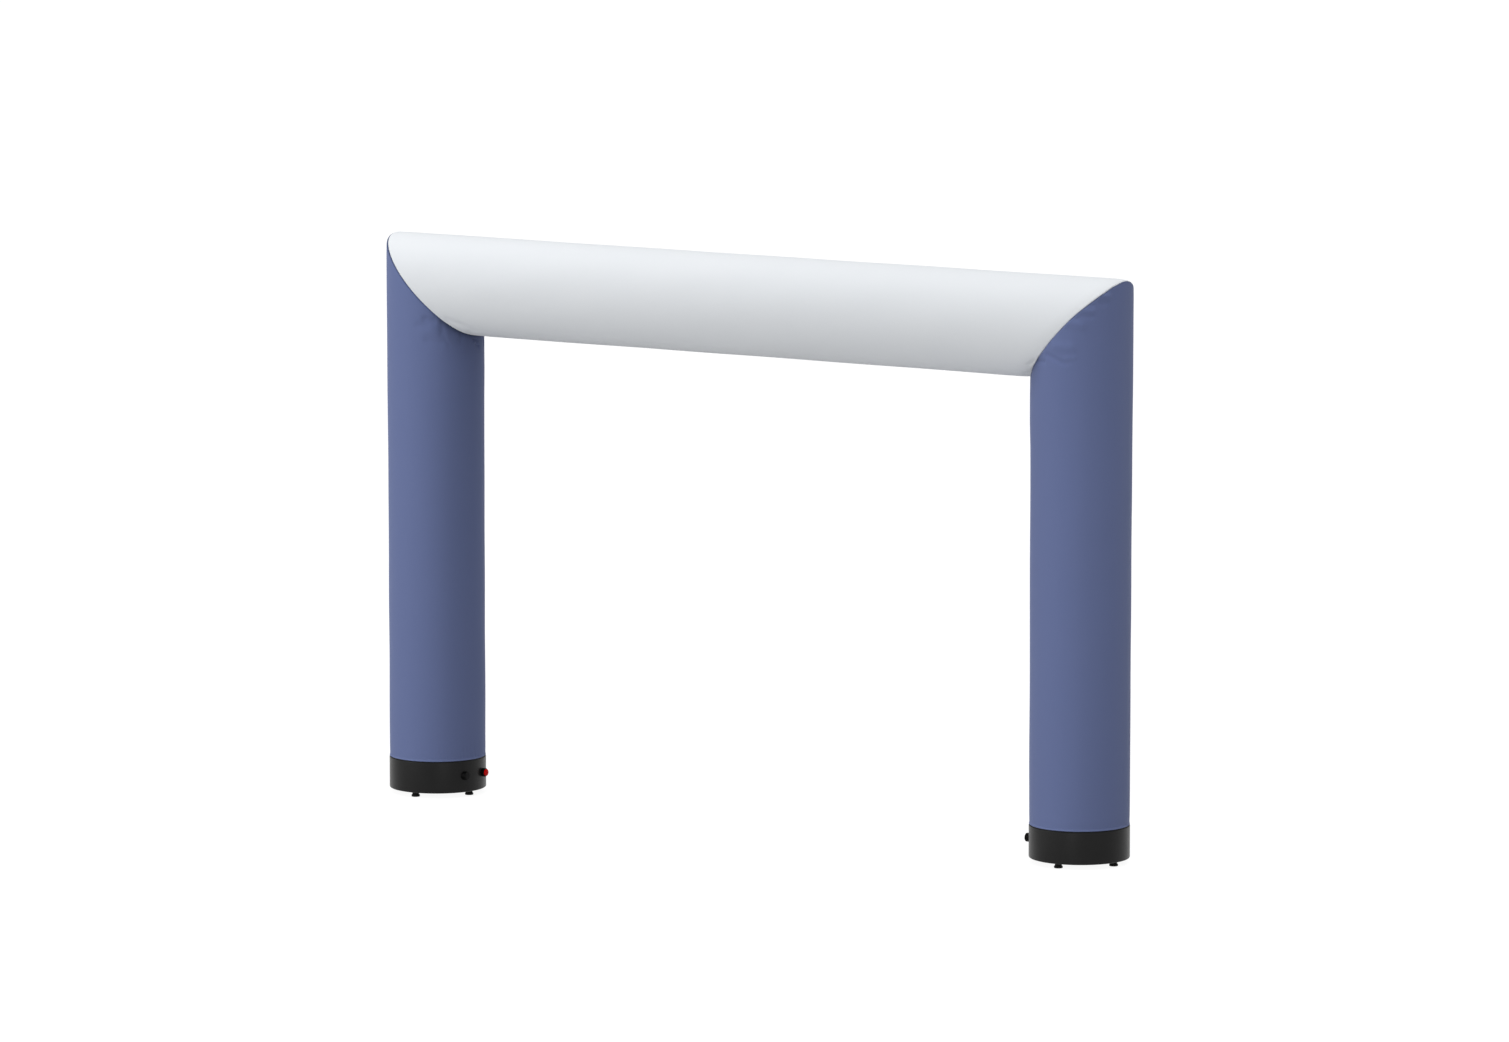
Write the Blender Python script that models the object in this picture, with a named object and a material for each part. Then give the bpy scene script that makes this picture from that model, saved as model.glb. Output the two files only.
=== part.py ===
"""Inflatable arch: two upright cloth tubes and a cloth beam, mitred together, on two round base drums.

The arch stands in the XZ plane.  The origin is on the ground, midway between the legs: +X runs along
the beam, +Y through the archway and +Z up.  All sizes are in metres and all angles in degrees.

Angles around a tube are counted from the archway side: 0 faces the archway, -90 the front (-Y),
90 the back (+Y) and 180 the outside.  The same angle names the same point of a mitred seam on the
leg and on the beam.
"""

import math
from collections import namedtuple

import bmesh
import bpy
from mathutils import Matrix, Vector

# Driving dimensions.
LEG_SPACING = 5.358
BEAM_AXIS_HEIGHT = 3.653
BEAM_RADIUS = 0.3515
LEG_TOP_RADIUS_LEFT = 0.3465
LEG_TOP_RADIUS_RIGHT = 0.3485
DRUM_RADIUS = 0.345
DRUM_HEIGHT = 0.228
FOOT_HEIGHT = 0.037
GAP = 0.0003

LEG_X = LEG_SPACING / 2
DRUM_TOP = FOOT_HEIGHT + DRUM_HEIGHT

# Half of the mitre gap, measured along a tube's axis.
MITRE_SHIFT = GAP / 2 * math.sqrt(2)

# Cloth beside a mitred seam: a tight roll next to the stitches, then a long soft swell.  A roll has a
# length along the tube, and takes a share of the way out to the free radius.
Roll = namedtuple("Roll", "length share")
LEG_ROLL = Roll(0.022, 0.86)
BEAM_ROLL_SHARE_LEFT = 0.86
BEAM_ROLL_SHARE_RIGHT = 0.25
ROLL_POWER = 2.2
SWELL_LENGTH = 0.12

# Distances from the mitre plane at which the cloth has a ring of points.
SEAM_RINGS = (
    0.0, 0.0018, 0.0045, 0.0085, 0.014, 0.022, 0.036, 0.055, 0.080, 0.110, 0.145, 0.185, 0.230,
    0.280, 0.330)

# Points around a tube: close together where the folds are, further apart on the outside.
FINE_HALF_ANGLE = 100
FINE_STEPS = 48
COARSE_STEPS = 22

# Sewn corner seams around the tube, one row for each angle: the radius, the rise above the 45
# degree plane through the crossing of the tubes' axes, and the length of the roll on the beam.
SeamRow = namedtuple(
    "SeamRow", "angle left_radius right_radius left_rise right_rise left_roll right_roll")
SEAM = (
    SeamRow(-180, 0.331, 0.334, 0.013, 0.005, 0.012, 0.026),
    SeamRow(-160, 0.331, 0.339, 0.013, -0.007, 0.010, 0.016),
    SeamRow(-145, 0.331, 0.343, 0.015, -0.016, 0.008, 0.009),
    SeamRow(-130, 0.330, 0.343, 0.016, -0.015, 0.008, 0.008),
    SeamRow(-110, 0.330, 0.341, 0.016, -0.009, 0.008, 0.008),
    SeamRow(-90, 0.330, 0.338, 0.017, -0.011, 0.008, 0.008),
    SeamRow(-68, 0.332, 0.336, 0.018, -0.015, 0.008, 0.008),
    SeamRow(-45, 0.333, 0.334, 0.014, -0.012, 0.008, 0.008),
    SeamRow(-20, 0.326, 0.330, 0.007, -0.012, 0.008, 0.008),
    SeamRow(0, 0.329, 0.328, 0.005, -0.010, 0.008, 0.008),
    SeamRow(25, 0.327, 0.331, 0.005, -0.012, 0.008, 0.008),
    SeamRow(70, 0.333, 0.334, 0.011, -0.010, 0.008, 0.008),
    SeamRow(120, 0.331, 0.340, 0.014, -0.012, 0.008, 0.009),
    SeamRow(155, 0.330, 0.339, 0.012, -0.006, 0.010, 0.016),
    SeamRow(180, 0.331, 0.334, 0.013, 0.005, 0.012, 0.026),
)

# Radius of each leg by height above the ground, between its hem and its corner.
LegRow = namedtuple("LegRow", "height left right")
LEG_PROFILE = (
    LegRow(0.335, 0.3416, 0.3420),
    LegRow(0.70, 0.3418, 0.3427),
    LegRow(1.30, 0.3418, 0.3428),
    LegRow(1.95, 0.3423, 0.3434),
    LegRow(2.45, 0.3428, 0.3446),
    LegRow(2.85, 0.3440, 0.3452),
)

# Rolled hem at the foot of a leg: a bead of cloth, and the stitched groove above it.
HEM_BEAD = 0.004
HEM_RADIUS = 0.3434
HEM_GROOVE_RADIUS = 0.3408
HEM_GROOVE_HEIGHT = 0.015

# Radius of the beam by place along it, between its two corners.
BeamRow = namedtuple("BeamRow", "along radius")
BEAM_PROFILE = (
    BeamRow(-1.6, 0.3508),
    BeamRow(-0.5, 0.3500),
    BeamRow(0.5, 0.3500),
    BeamRow(1.6, 0.3508),
)

# Folds of the cloth.  Each runs between two points of the tube, given by the angle and by the
# distance from the seam.  A positive depth is a trough and a negative one a ridge.
Fold = namedtuple("Fold", "from_angle from_seam to_angle to_seam half_width depth")
LEG_LEFT_FOLDS = (
    Fold(-66, 0.100, -57, 0.062, 0.028, 0.0100),
    Fold(-76, 0.200, -65, 0.143, 0.022, 0.0050),
    Fold(-64, 0.235, -49, 0.180, 0.030, 0.0055),
    Fold(-47, 0.025, -47, 0.105, 0.025, 0.0066),
    Fold(-22, 0.018, -24, 0.070, 0.018, 0.0065),
    Fold(20, 0.020, 24, 0.110, 0.016, 0.0060),
    Fold(44, 0.030, 38, 0.120, 0.018, 0.0055),
    Fold(64, 0.060, 84, 0.190, 0.024, 0.0055),
)
LEG_RIGHT_FOLDS = (
    Fold(-79, 0.072, -98, 0.232, 0.017, 0.0088),
    Fold(-102, 0.262, -109, 0.298, 0.018, 0.0035),
    Fold(-61, 0.020, -74, 0.092, 0.016, 0.0085),
    Fold(-91, 0.083, -109, 0.201, 0.034, -0.0080),
    Fold(-102, 0.234, -113, 0.292, 0.022, -0.0040),
    Fold(-105, 0.012, -121, 0.114, 0.027, -0.0075),
    Fold(-121, 0.010, -133, 0.073, 0.020, -0.0060),
    Fold(-119, 0.037, -132, 0.100, 0.018, 0.0040),
    Fold(-142, 0.010, -152, 0.052, 0.022, -0.0068),
    Fold(-140, 0.044, -149, 0.080, 0.020, 0.0040),
    Fold(-40, 0.020, -33, 0.110, 0.016, 0.0062),
    Fold(-12, 0.015, -8, 0.090, 0.016, 0.0065),
    Fold(14, 0.015, 18, 0.130, 0.017, 0.0065),
    Fold(58, 0.060, 80, 0.170, 0.024, 0.0055),
)
BEAM_LEFT_FOLDS = (
    Fold(-50, 0.070, -45, 0.130, 0.032, 0.0062),
    Fold(-41, 0.150, -34, 0.170, 0.028, 0.0048),
    Fold(-29, 0.100, -20, 0.080, 0.020, 0.0050),
    Fold(-7, 0.015, -9, 0.120, 0.016, 0.0062),
    Fold(13, 0.015, 11, 0.100, 0.016, 0.0062),
    Fold(38, 0.030, 32, 0.130, 0.020, 0.0052),
)
BEAM_RIGHT_FOLDS = (
    Fold(-47, 0.038, -54, 0.012, 0.018, 0.0055),
    Fold(-28, 0.046, -29, 0.010, 0.016, 0.0058),
    Fold(-12, 0.015, -10, 0.110, 0.016, 0.0062),
    Fold(10, 0.015, 14, 0.120, 0.017, 0.0058),
    Fold(49, 0.040, 42, 0.120, 0.020, 0.0052),
)
# The folds fade out towards the stitches, and again at the far end of the corner.
FOLD_FADE = 0.014
FOLD_END = 0.29
FOLD_END_FADE = 0.035

# Base drum: the cloth stands on a low collar, set back from the drum's wall.
DRUM_SEGMENTS = 56
DRUM_COLLAR_RADIUS = 0.336
DRUM_COLLAR_HEIGHT = 0.006
DRUM_TOP_EDGE = 0.003
DRUM_BOTTOM_EDGE = 0.008

# Rubber feet.
FOOT_CIRCLE_RADIUS = 0.273
FOOT_DIRECTIONS = (0, 90, 180, 270)
FOOT_NECK_RADIUS = 0.024
FOOT_PAD_RADIUS = 0.030
FOOT_PAD_HEIGHT = 0.012
FOOT_FLARE_HEIGHT = 0.006
FOOT_PAD_EDGE = 0.002
FOOT_SEGMENTS = 18

# Round ports on the archway side of the drums.  They point straight along the arch.  Each has a place
# across the arch, and a face along it, both counted from the drum's axis.
PORT_HEIGHT = 0.157
PORT_RADIUS = 0.0305
PORT_EDGE = 0.004
PORT_ROOT = 0.300
PORT_ACROSS = -0.122
PORT_FACE = 0.346
COLLAR_ACROSS = 0.077
COLLAR_FACE = 0.365
CAP_RADIUS = 0.0245
CAP_REACH = 0.011
CAP_SKIRT = 0.006
PORT_SEGMENTS = 32

# Steps in a quarter turn or less of a rounded edge, and the angle above which an edge stays sharp.
ARC_STEPS = 4
SHARP_ANGLE = 40

# Points closer than this are one point.
SAME_POINT = 1e-6


def clear_scene():
    """Remove every object that the file holds."""
    for item in list(bpy.data.objects):
        bpy.data.objects.remove(item, do_unlink=True)


def material(name, color, roughness):
    """Principled material with a base colour and a roughness."""
    made = bpy.data.materials.new(name)
    made.use_nodes = True
    shader = made.node_tree.nodes["Principled BSDF"]
    shader.inputs["Base Color"].default_value = (*color, 1.0)
    shader.inputs["Roughness"].default_value = roughness
    shader.inputs["Metallic"].default_value = 0.0
    return made


def make_materials():
    """The arch's five materials, by name."""
    return {
        "blue_cloth": material("blue_cloth", (0.155, 0.19, 0.37), 0.75),
        "white_cloth": material("white_cloth", (0.86, 0.88, 0.90), 0.7),
        "black_plastic": material("black_plastic", (0.028, 0.028, 0.028), 0.45),
        "black_rubber": material("black_rubber", (0.015, 0.015, 0.015), 0.8),
        "red_plastic": material("red_plastic", (0.70, 0.01, 0.01), 0.3),
    }


def tube_angles():
    """Angles of the points around a tube, in degrees, from the outside round and back to it."""
    fine = [FINE_HALF_ANGLE * (2 * step / FINE_STEPS - 1) for step in range(FINE_STEPS)]
    coarse_span = 360 - 2 * FINE_HALF_ANGLE
    coarse = [FINE_HALF_ANGLE + coarse_span * step / COARSE_STEPS for step in range(COARSE_STEPS)]
    return fine + coarse


def smooth(value):
    """Smooth step from 0 to 1."""
    value = min(1.0, max(0.0, value))
    return value * value * (3 - 2 * value)


def wrap(angle):
    """The same angle between -180 and 180."""
    return (angle + 180) % 360 - 180


def seam_value(name, angle, side):
    """One column of the seam table at an angle; side is -1 for the left corner, 1 for the right."""
    column = ("left_" if side < 0 else "right_") + name
    angle = wrap(angle)
    for low, high in zip(SEAM, SEAM[1:]):
        if angle <= high.angle:
            part = smooth((angle - low.angle) / (high.angle - low.angle))
            return getattr(low, column) + (getattr(high, column) - getattr(low, column)) * part
    return getattr(SEAM[0], column)


def seam_rise(distance, roll):
    """Share of the way from the seam's radius out to the free radius, by distance from the seam."""
    tight = 1 - min(1.0, distance / roll.length)
    soft = 1 - min(1.0, distance / SWELL_LENGTH)
    return 1 - roll.share * tight ** ROLL_POWER - (1 - roll.share) * soft * soft


def laid_flat(angle, distance, radius):
    """Place of a point on the tube's cloth laid flat: across it, and along it from the seam's middle."""
    turn = math.radians(angle)
    return Vector((turn * radius, distance + radius * math.cos(turn)))


def fold_depth(folds, angle, distance, radius):
    """How far the folds pull the cloth in at one point of a tube."""
    depth = 0.0
    point = laid_flat(wrap(angle), distance, radius)
    for fold in folds:
        start = laid_flat(fold.from_angle, fold.from_seam, radius)
        end = laid_flat(fold.to_angle, fold.to_seam, radius)
        along = (point - start).dot(end - start) / (end - start).length_squared
        nearest = start.lerp(end, min(1.0, max(0.0, along)))
        away = (point - nearest).length / fold.half_width
        depth += fold.depth * math.exp(-away * away)
    return depth * smooth(distance / FOLD_FADE) * (1 - smooth((distance - FOLD_END) / FOLD_END_FADE))


def corner_radius(angle, distance, side, free_radius, roll, folds):
    """Radius of a tube near its mitred corner."""
    seam = seam_value("radius", angle, side)
    swollen = seam + (free_radius - seam) * seam_rise(distance, roll)
    return swollen - fold_depth(folds, angle, distance, free_radius)


def close_end(shape, loop):
    """Close the end of a tube with a fan of faces round its middle."""
    middle = shape.verts.new(sum((vert.co for vert in loop), Vector()) / len(loop))
    for index in range(len(loop)):
        shape.faces.new((loop[index], loop[(index + 1) % len(loop)], middle))


def loft(name, rings, finish):
    """Closed solid over equal rings of points."""
    shape = bmesh.new()
    loops = [[shape.verts.new(point) for point in ring] for ring in rings]
    for lower, upper in zip(loops, loops[1:]):
        for index in range(len(lower)):
            after = (index + 1) % len(lower)
            shape.faces.new((lower[index], lower[after], upper[after], upper[index]))
    close_end(shape, loops[0])
    close_end(shape, loops[-1])
    bmesh.ops.recalc_face_normals(shape, faces=shape.faces)
    return finished(name, shape, finish)


def turned(name, profile, segments, finish):
    """Closed solid turned about Z from (radius, height) points that start and end on the axis."""
    shape = bmesh.new()
    points = [shape.verts.new((radius, 0, height)) for radius, height in profile]
    edges = [shape.edges.new(pair) for pair in zip(points, points[1:])]
    bmesh.ops.spin(shape, geom=points + edges, cent=(0, 0, 0), axis=(0, 0, 1),
                   angle=2 * math.pi, steps=segments, use_merge=True)
    bmesh.ops.remove_doubles(shape, verts=shape.verts, dist=SAME_POINT)
    bmesh.ops.recalc_face_normals(shape, faces=shape.faces)
    return finished(name, shape, finish)


def finished(name, shape, finish):
    """Object from a shape, smooth shaded, with its material."""
    mesh = bpy.data.meshes.new(name)
    shape.to_mesh(mesh)
    shape.free()
    mesh.shade_smooth()
    mesh.set_sharp_from_angle(angle=math.radians(SHARP_ANGLE))
    mesh.materials.append(finish)
    item = bpy.data.objects.new(name, mesh)
    bpy.context.scene.collection.objects.link(item)
    return item


def arc(centre, radius, start, end):
    """Points of an arc in the (radius, height) plane, from one angle to another."""
    steps = [start + (end - start) * step / ARC_STEPS for step in range(ARC_STEPS + 1)]
    return [(centre[0] + radius * math.cos(math.radians(turn)),
             centre[1] + radius * math.sin(math.radians(turn))) for turn in steps]


def base_point(name, side):
    """Empty on the ground under a leg, which carries all that stands there."""
    point = bpy.data.objects.new(name, None)
    point.location = (side * LEG_X, 0, 0)
    bpy.context.scene.collection.objects.link(point)
    return point


def hem_rings():
    """(height, radius) of the rolled hem at the foot of a leg, from the drum upwards."""
    bottom = DRUM_TOP + GAP
    bead = arc((HEM_RADIUS - HEM_BEAD, bottom + HEM_BEAD), HEM_BEAD, -90, 45)
    return [(height, radius) for radius, height in bead] + [
        (bottom + HEM_GROOVE_HEIGHT, HEM_GROOVE_RADIUS)]


def leg_tube(name, side, folds, finish):
    """Upright cloth tube from its hem on the drum to its mitred top, about its own axis."""
    inward = -side
    angles = tube_angles()
    rings = []
    plain = [(row.height, row.left if side < 0 else row.right) for row in LEG_PROFILE]
    top_radius = LEG_TOP_RADIUS_LEFT if side < 0 else LEG_TOP_RADIUS_RIGHT
    for height, radius in hem_rings() + plain:
        rings.append([(inward * radius * math.cos(math.radians(angle)),
                       radius * math.sin(math.radians(angle)), height) for angle in angles])
    for distance in reversed(SEAM_RINGS):
        ring = []
        for angle in angles:
            radius = corner_radius(angle, distance, side, top_radius, LEG_ROLL, folds)
            toward = radius * math.cos(math.radians(angle))
            plane = BEAM_AXIS_HEIGHT - toward + seam_value("rise", angle, side)
            ring.append((inward * toward, radius * math.sin(math.radians(angle)),
                         plane - MITRE_SHIFT - distance))
        rings.append(ring)
    return loft(name, rings, finish)


def beam_corner_ring(distance, side, folds):
    """Ring of the beam at a distance from one mitred seam; it moves up or down to meet the seam."""
    share = BEAM_ROLL_SHARE_LEFT if side < 0 else BEAM_ROLL_SHARE_RIGHT
    ring = []
    for angle in tube_angles():
        roll = Roll(seam_value("roll", angle, side), share)
        rise = seam_value("rise", angle, side)
        radius = corner_radius(angle, distance, side, BEAM_RADIUS, roll, folds)
        centre = rise * (1 - seam_rise(distance, roll))
        height = centre - radius * math.cos(math.radians(angle))
        plane = LEG_X + height - rise
        ring.append((side * (plane - MITRE_SHIFT - distance),
                     radius * math.sin(math.radians(angle)), height))
    return ring


def beam_tube(name, finish):
    """Cloth beam from one mitred corner to the other, about its own axis."""
    rings = [beam_corner_ring(distance, -1, BEAM_LEFT_FOLDS) for distance in SEAM_RINGS]
    for row in BEAM_PROFILE:
        rings.append([(row.along, row.radius * math.sin(math.radians(angle)),
                       -row.radius * math.cos(math.radians(angle))) for angle in tube_angles()])
    rings += [beam_corner_ring(distance, 1, BEAM_RIGHT_FOLDS) for distance in reversed(SEAM_RINGS)]
    beam = loft(name, rings, finish)
    beam.location = (0, 0, BEAM_AXIS_HEIGHT)
    return beam


def drum(name, finish):
    """Round base housing with a collar on top, and a rounded upper and lower edge."""
    shoulder = DRUM_TOP - DRUM_COLLAR_HEIGHT
    collar = [(0, DRUM_TOP), (DRUM_COLLAR_RADIUS, DRUM_TOP), (DRUM_COLLAR_RADIUS, shoulder)]
    top = arc((DRUM_RADIUS - DRUM_TOP_EDGE, shoulder - DRUM_TOP_EDGE), DRUM_TOP_EDGE, 90, 0)
    low = arc((DRUM_RADIUS - DRUM_BOTTOM_EDGE, FOOT_HEIGHT + DRUM_BOTTOM_EDGE),
              DRUM_BOTTOM_EDGE, 0, -90)
    profile = collar + top + low + [(0, FOOT_HEIGHT)]
    return turned(name, profile, DRUM_SEGMENTS, finish)


def foot(name, finish):
    """Rubber foot: a narrow neck that flares to a round pad."""
    top = FOOT_HEIGHT - GAP
    profile = [
        (0, top),
        (FOOT_NECK_RADIUS, top),
        (FOOT_NECK_RADIUS, FOOT_PAD_HEIGHT + FOOT_FLARE_HEIGHT),
        (FOOT_PAD_RADIUS, FOOT_PAD_HEIGHT),
        (FOOT_PAD_RADIUS, FOOT_PAD_EDGE),
        (FOOT_PAD_RADIUS - FOOT_PAD_EDGE, 0),
        (0, 0),
    ]
    return turned(name, profile, FOOT_SEGMENTS, finish)


def wall_cutter(name, base):
    """Cylinder a gap wider than the drum, which trims the root of a port to the drum's wall."""
    shape = bmesh.new()
    bmesh.ops.create_cone(shape, cap_ends=True, segments=DRUM_SEGMENTS * 2,
                          radius1=DRUM_RADIUS + GAP, radius2=DRUM_RADIUS + GAP, depth=DRUM_HEIGHT,
                          matrix=Matrix.Translation((0, 0, FOOT_HEIGHT + DRUM_HEIGHT / 2)))
    mesh = bpy.data.meshes.new(name)
    shape.to_mesh(mesh)
    shape.free()
    cutter = bpy.data.objects.new(name, mesh)
    bpy.context.scene.collection.objects.link(cutter)
    cutter.parent = base
    cutter.hide_render = True
    cutter.display_type = "WIRE"
    return cutter


def place_port(item, base, side, across, along=0.0):
    """Stand a turned piece beside a drum, with its axis pointing along the arch into the archway."""
    inward = Vector((-side, 0, 0))
    item.parent = base
    item.location = inward * along + Vector((0, across, PORT_HEIGHT))
    item.rotation_euler = inward.to_track_quat("Z", "Y").to_euler()


def cut_by(item, cutter):
    """Leave only what lies outside the cutter."""
    cut = item.modifiers.new("wall", "BOOLEAN")
    cut.operation = "DIFFERENCE"
    cut.solver = "EXACT"
    cut.object = cutter


def port(name, face, finish):
    """Round stub with a rounded rim, from its root inside the drum out to its face."""
    rim = arc((PORT_RADIUS - PORT_EDGE, face - PORT_EDGE), PORT_EDGE, 90, 0)
    profile = [(0, face)] + rim + [(PORT_RADIUS, PORT_ROOT), (0, PORT_ROOT)]
    return turned(name, profile, PORT_SEGMENTS, finish)


def domed_cap(name, finish):
    """Cap with a short straight skirt and a domed face."""
    rise = CAP_REACH - CAP_SKIRT
    turns = [math.radians(90 * step / (2 * ARC_STEPS)) for step in range(2 * ARC_STEPS + 1)]
    dome = [(CAP_RADIUS * math.sin(turn), CAP_SKIRT + rise * math.cos(turn)) for turn in turns]
    return turned(name, dome + [(CAP_RADIUS, GAP), (0, GAP)], PORT_SEGMENTS, finish)


def make_base(side_name, side, finishes):
    """Drum, feet and the port on the front of the archway side, under one leg."""
    base = base_point("base_" + side_name, side)
    drum("drum_" + side_name, finishes["black_plastic"]).parent = base
    for number, direction in enumerate(FOOT_DIRECTIONS, start=1):
        pad = foot(f"foot_{side_name}_{number}", finishes["black_rubber"])
        pad.parent = base
        turn = math.radians(direction)
        pad.location = (FOOT_CIRCLE_RADIUS * math.cos(turn), FOOT_CIRCLE_RADIUS * math.sin(turn), 0)
    cutter = wall_cutter("cutter_" + side_name, base)
    stub = port("port_" + side_name, PORT_FACE, finishes["black_plastic"])
    place_port(stub, base, side, PORT_ACROSS)
    cut_by(stub, cutter)
    return base, cutter


def make_red_cap(base, cutter, finishes):
    """Second port of the left drum: a black collar with a red domed cap."""
    collar = port("cap_collar_left", COLLAR_FACE, finishes["black_plastic"])
    place_port(collar, base, -1, COLLAR_ACROSS)
    cut_by(collar, cutter)
    cap = domed_cap("cap_red_left", finishes["red_plastic"])
    place_port(cap, base, -1, COLLAR_ACROSS, COLLAR_FACE)


def main():
    clear_scene()
    finishes = make_materials()
    left, left_cutter = make_base("left", -1, finishes)
    right, _ = make_base("right", 1, finishes)
    make_red_cap(left, left_cutter, finishes)
    leg_tube("leg_left", -1, LEG_LEFT_FOLDS, finishes["blue_cloth"]).parent = left
    leg_tube("leg_right", 1, LEG_RIGHT_FOLDS, finishes["blue_cloth"]).parent = right
    beam_tube("beam", finishes["white_cloth"])
    bpy.context.view_layer.update()


main()
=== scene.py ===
"""Looks of the inflatable arch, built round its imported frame.

The cloth tubes are finer meshes of the frame's tubes: the same mitred corners, hems and folds,
with the gathers, stitches and weave that the solids leave out.  The base drums, ports, cap and
feet are turned again in finer steps.

Angles around a tube are counted from the archway side: 0 faces the archway, -90 the front (-Y),
90 the back (+Y) and 180 the outside.  The left leg and corner are side -1, the right ones side 1.
All sizes are in metres and all angles in degrees.
"""

import math
import random
from collections import namedtuple

import bmesh
import bpy
import numpy as np
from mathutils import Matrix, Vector


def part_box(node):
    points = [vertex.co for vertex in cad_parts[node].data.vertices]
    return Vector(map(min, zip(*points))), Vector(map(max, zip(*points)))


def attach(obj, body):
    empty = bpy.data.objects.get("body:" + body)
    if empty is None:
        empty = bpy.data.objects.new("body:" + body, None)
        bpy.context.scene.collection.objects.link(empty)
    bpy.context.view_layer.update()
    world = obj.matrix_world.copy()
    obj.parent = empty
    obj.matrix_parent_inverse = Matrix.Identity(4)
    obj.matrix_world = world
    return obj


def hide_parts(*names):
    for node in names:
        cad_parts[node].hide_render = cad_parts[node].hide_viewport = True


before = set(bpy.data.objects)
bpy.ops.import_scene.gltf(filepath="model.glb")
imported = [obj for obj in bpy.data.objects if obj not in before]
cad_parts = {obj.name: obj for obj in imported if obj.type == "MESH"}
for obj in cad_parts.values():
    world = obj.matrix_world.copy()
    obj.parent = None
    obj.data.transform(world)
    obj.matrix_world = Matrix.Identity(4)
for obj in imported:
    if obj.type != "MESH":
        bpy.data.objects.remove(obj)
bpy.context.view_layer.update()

# Main sizes, read from the frame.
DRUM_LOW, DRUM_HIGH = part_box("drum_right")
BEAM_LOW, BEAM_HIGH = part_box("beam")
LEG_X = (DRUM_LOW.x + DRUM_HIGH.x) / 2
DRUM_RADIUS = (DRUM_HIGH.x - DRUM_LOW.x) / 2
DRUM_BOTTOM = DRUM_LOW.z
DRUM_TOP = DRUM_HIGH.z
BEAM_AXIS_HEIGHT = (BEAM_LOW.z + BEAM_HIGH.z) / 2
BEAM_RADIUS = (BEAM_HIGH.z - BEAM_LOW.z) / 2
GAP = 0.0003

# Free radius of each leg just under its corner.
LEG_TOP_RADIUS_LEFT = 0.3465
LEG_TOP_RADIUS_RIGHT = 0.3485

# Half of the mitre gap, measured along a tube's axis.
MITRE_SHIFT = GAP / 2 * math.sqrt(2)

# Cloth beside a mitred seam: a tight roll next to the stitches, then a long soft swell.  A roll
# has a length along the tube, and takes a share of the way out to the free radius.
Roll = namedtuple("Roll", "length share")
LEG_ROLL = Roll(0.022, 0.86)
BEAM_ROLL_SHARE_LEFT = 0.86
BEAM_ROLL_SHARE_RIGHT = 0.25
ROLL_POWER = 2.2
SWELL_LENGTH = 0.12

# Points around a tube, and the rings of points near a seam: their spacing grows away from it.
TUBE_STEPS = 540
SEAM_FIRST_STEP = 0.0007
SEAM_STEP_GROWTH = 1.09
SEAM_LONGEST_STEP = 0.012
SEAM_ZONE = 0.33
PLAIN_STEP = 0.08

# The lengthways seam that closes each tube, at the back.
CLOSING_ANGLE = 100
CLOSING_DEPTH = 0.0018
CLOSING_HALF_WIDTH = 0.005
CLOSING_END_FADE = 0.01

# Sewn corner seams around the tube, one row for each angle: the radius, the rise above the 45
# degree plane through the crossing of the tubes' axes, and the length of the roll on the beam.
SeamRow = namedtuple(
    "SeamRow", "angle left_radius right_radius left_rise right_rise left_roll right_roll")
SEAM = (
    SeamRow(-180, 0.331, 0.334, 0.013, 0.005, 0.012, 0.026),
    SeamRow(-160, 0.331, 0.339, 0.013, -0.007, 0.010, 0.016),
    SeamRow(-145, 0.331, 0.343, 0.015, -0.016, 0.008, 0.009),
    SeamRow(-130, 0.330, 0.343, 0.016, -0.015, 0.008, 0.008),
    SeamRow(-110, 0.330, 0.341, 0.016, -0.009, 0.008, 0.008),
    SeamRow(-90, 0.330, 0.338, 0.017, -0.011, 0.008, 0.008),
    SeamRow(-68, 0.332, 0.336, 0.018, -0.015, 0.008, 0.008),
    SeamRow(-45, 0.333, 0.334, 0.014, -0.012, 0.008, 0.008),
    SeamRow(-20, 0.326, 0.330, 0.007, -0.012, 0.008, 0.008),
    SeamRow(0, 0.329, 0.328, 0.005, -0.010, 0.008, 0.008),
    SeamRow(25, 0.327, 0.331, 0.005, -0.012, 0.008, 0.008),
    SeamRow(70, 0.333, 0.334, 0.011, -0.010, 0.008, 0.008),
    SeamRow(120, 0.331, 0.340, 0.014, -0.012, 0.008, 0.009),
    SeamRow(155, 0.330, 0.339, 0.012, -0.006, 0.010, 0.016),
    SeamRow(180, 0.331, 0.334, 0.013, 0.005, 0.012, 0.026),
)

# Radius of each leg by height above the ground, between its hem and its corner.
LegRow = namedtuple("LegRow", "height left right")
LEG_PROFILE = (
    LegRow(0.335, 0.3416, 0.3420),
    LegRow(0.70, 0.3418, 0.3427),
    LegRow(1.30, 0.3418, 0.3428),
    LegRow(1.95, 0.3423, 0.3434),
    LegRow(2.45, 0.3428, 0.3446),
    LegRow(2.85, 0.3440, 0.3452),
)

# Rolled hem at the foot of a leg: a bead of cloth, and the stitched groove above it.
HEM_BEAD = 0.004
HEM_RADIUS = 0.3434
HEM_GROOVE_RADIUS = 0.3408
HEM_GROOVE_HEIGHT = 0.015

# Radius of the beam by place along it, between its two corners.
BeamRow = namedtuple("BeamRow", "along radius")
BEAM_PROFILE = (
    BeamRow(-1.6, 0.3508),
    BeamRow(-0.5, 0.3500),
    BeamRow(0.5, 0.3500),
    BeamRow(1.6, 0.3508),
)

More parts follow.
